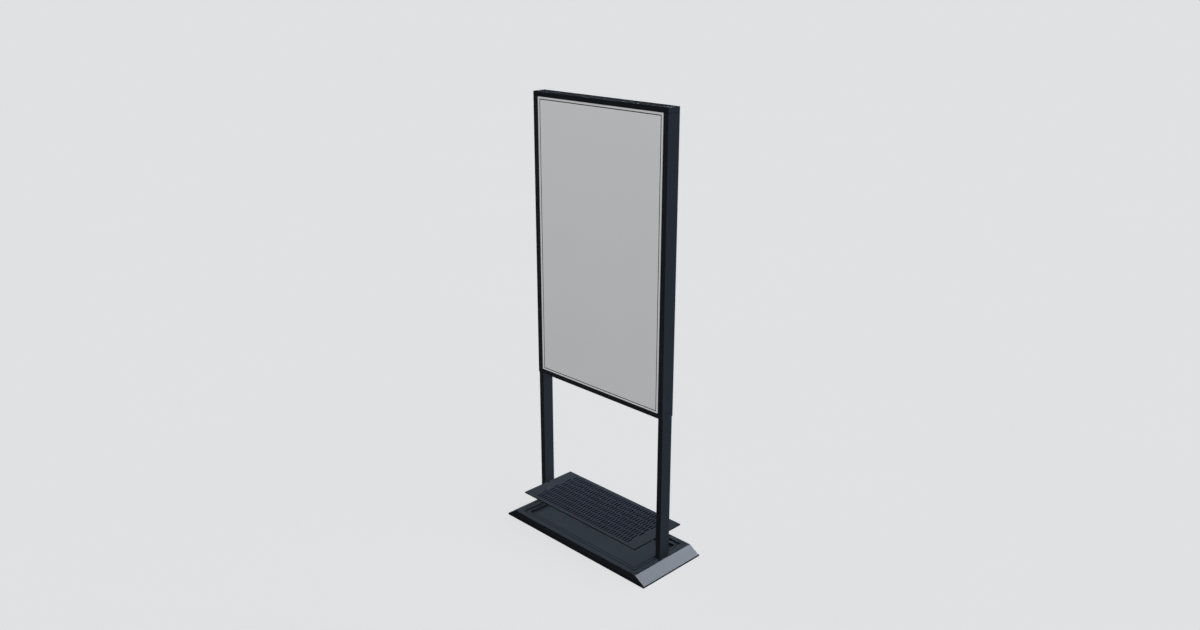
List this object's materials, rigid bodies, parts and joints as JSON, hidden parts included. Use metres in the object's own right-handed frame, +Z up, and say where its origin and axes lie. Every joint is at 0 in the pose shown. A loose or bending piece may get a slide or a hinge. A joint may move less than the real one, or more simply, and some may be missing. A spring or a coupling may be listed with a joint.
{
  "type": "display stele",
  "caption": "Free-standing portrait display stele: framed screen on two posts above a low base with ramped ends, a shallow tray and a slotted cover plate that lifts between the posts.",
  "frame": {"origin": "middle of the footprint, on the floor", "axes": "+Z up, X across the width, the screen faces -Y"},
  "size_m": [0.876, 0.362, 1.9725],
  "materials": {
    "frame_paint": "satin anthracite powder coat",
    "base_paint": "satin anthracite powder coat",
    "cover_paint": "satin anthracite powder coat",
    "grille_paint": "matt black paint",
    "raw_steel": "hot rolled, oiled",
    "zinc_steel": "zinc plated",
    "black_steel": "black oxide",
    "chassis_alu": "mill finish sheet",
    "bezel_grey": "fine texture",
    "panel_grey": "anti-glare",
    "gasket_black": "foam strip",
    "rubber_black": "matt",
    "liner_fleece": "needled fleece",
    "black_plastic": "moulded",
    "rocker_black": "polished",
    "lead_black": "PVC sheath",
    "board_green": "solder mask"
  },
  "bodies": {
    "stele": {"base_mat": "rubber_black", "base_plate": "base_paint", "base_shell": "base_paint", "base_screws": "black_steel", "tray": "base_paint", "edge_strips": "rubber_black", "tray_screws": "black_steel", "ballast_left": "raw_steel", "ballast_right": "raw_steel", "ballast_screws": "black_steel", "post_left": "frame_paint", "post_right": "frame_paint", "foot_left": "raw_steel", "foot_right": "raw_steel", "post_bolts": "zinc_steel", "spigot_left": "raw_steel", "spigot_right": "raw_steel", "spigot_screws": "black_steel", "top_rail": "frame_paint", "bottom_rail": "frame_paint", "stile_left": "frame_paint", "stile_right": "frame_paint", "vent_grille": "grille_paint", "corner_brackets": "zinc_steel", "bracket_screws": "zinc_steel", "joint_gaskets": "gasket_black", "screen_bezel": "bezel_grey", "panel_gasket": "gasket_black", "screen_panel": "panel_grey", "lcd_chassis": "chassis_alu", "crossbar_lower": "zinc_steel", "crossbar_upper": "zinc_steel", "crossbar_screws": "zinc_steel", "vesa_bolts": "zinc_steel", "power_supply": "chassis_alu", "control_board": "board_green", "board_standoffs": "zinc_steel", "media_player": "black_plastic", "cover_lugs": "zinc_steel", "rear_cover_screws": "black_steel", "rear_cover": "frame_paint", "vent_filters": "gasket_black", "power_inlet": "black_plastic", "inlet_screws": "black_steel", "rocker_housing": "black_plastic", "mains_lead": "lead_black", "cable_grommets": "rubber_black"},
    "cover": {"cover_plate": "cover_paint", "cover_liner": "liner_fleece", "carrier_left": "black_plastic", "carrier_right": "black_plastic", "carrier_screws": "black_steel", "friction_pads": "rubber_black"},
    "switch_rocker": {"rocker": "rocker_black"}
  },
  "joints": [
    {"name": "cover_lift", "type": "slide", "parent": "stele", "child": "cover", "axis": [0, 0, 1], "range_m": [-0.0997, 0]},
    {"name": "rocker_tilt", "type": "hinge", "parent": "stele", "child": "switch_rocker", "pos_m": [-0.222, 0.1734, 0.02], "axis": [0, 0, 1], "range_deg": [-18, 0]}
  ]
}
